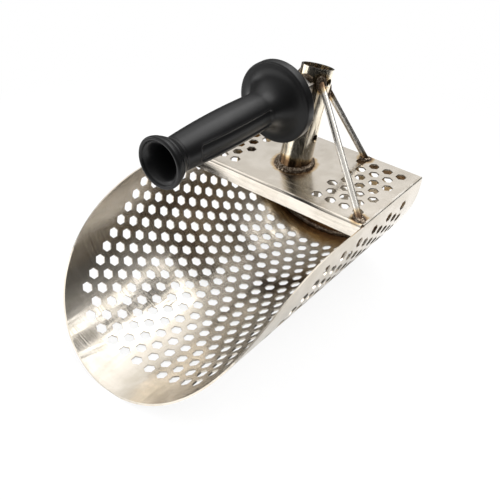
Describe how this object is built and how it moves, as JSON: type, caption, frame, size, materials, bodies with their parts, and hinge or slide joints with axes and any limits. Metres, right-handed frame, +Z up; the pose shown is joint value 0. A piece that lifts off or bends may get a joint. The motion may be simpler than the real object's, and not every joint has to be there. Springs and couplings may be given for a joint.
{
  "type": "sand scoop",
  "caption": "Stainless hand scoop for sieving sand: perforated half-round bowl, braced pole socket and a black screw-in grip with a guard.",
  "frame": {"origin": "on the ground under the middle of the part, at the bottom of the bowl", "axes": "+Z up, +Y to the closed rear end, so the mouth faces -Y; +X to the right of someone looking into the mouth"},
  "size_m": [0.1754, 0.255, 0.1823],
  "materials": {
    "sheet_steel": "bright rolled stainless sheet, lightly polished",
    "tube_steel": "polished stainless tube",
    "rod_steel": "drawn stainless rod",
    "weld_metal": "heat-tinted weld bead",
    "fastener_steel": "plain turned steel",
    "black_plastic": "satin black moulding"
  },
  "bodies": {
    "scoop": {"bowl": "sheet_steel", "cover_plate": "sheet_steel", "back_plate": "sheet_steel", "seam_weld_left": "sheet_steel", "seam_weld_right": "sheet_steel", "back_seam_weld": "weld_metal", "socket_tube": "tube_steel", "socket_weld_ring": "weld_metal", "front_brace_left": "rod_steel", "front_brace_right": "rod_steel", "rear_brace_left": "rod_steel", "rear_brace_right": "rod_steel", "front_foot_welds": "weld_metal", "rear_foot_welds": "weld_metal", "front_top_welds": "weld_metal", "rear_top_welds": "weld_metal", "handle_nut": "fastener_steel", "handle_nut_weld": "weld_metal"},
    "washer": {"handle_washer": "fastener_steel"},
    "grip": {"handle_stud": "fastener_steel", "grip": "black_plastic"}
  },
  "joints": [
    {"name": "grip_travel", "type": "slide", "parent": "scoop", "child": "washer", "axis": [0, -0.9997, 0.0227], "range_m": [0, 0.0135]},
    {"name": "grip_turn", "type": "hinge", "parent": "washer", "child": "grip", "pos_m": [0, 0.0488, 0.15213], "axis": [0, -0.9997, 0.0227], "range_deg": [0, 3888]}
  ],
  "couplings": [
    {"joint": "grip_turn", "follows": "grip_travel", "rad_per_m": 5026.5}
  ]
}
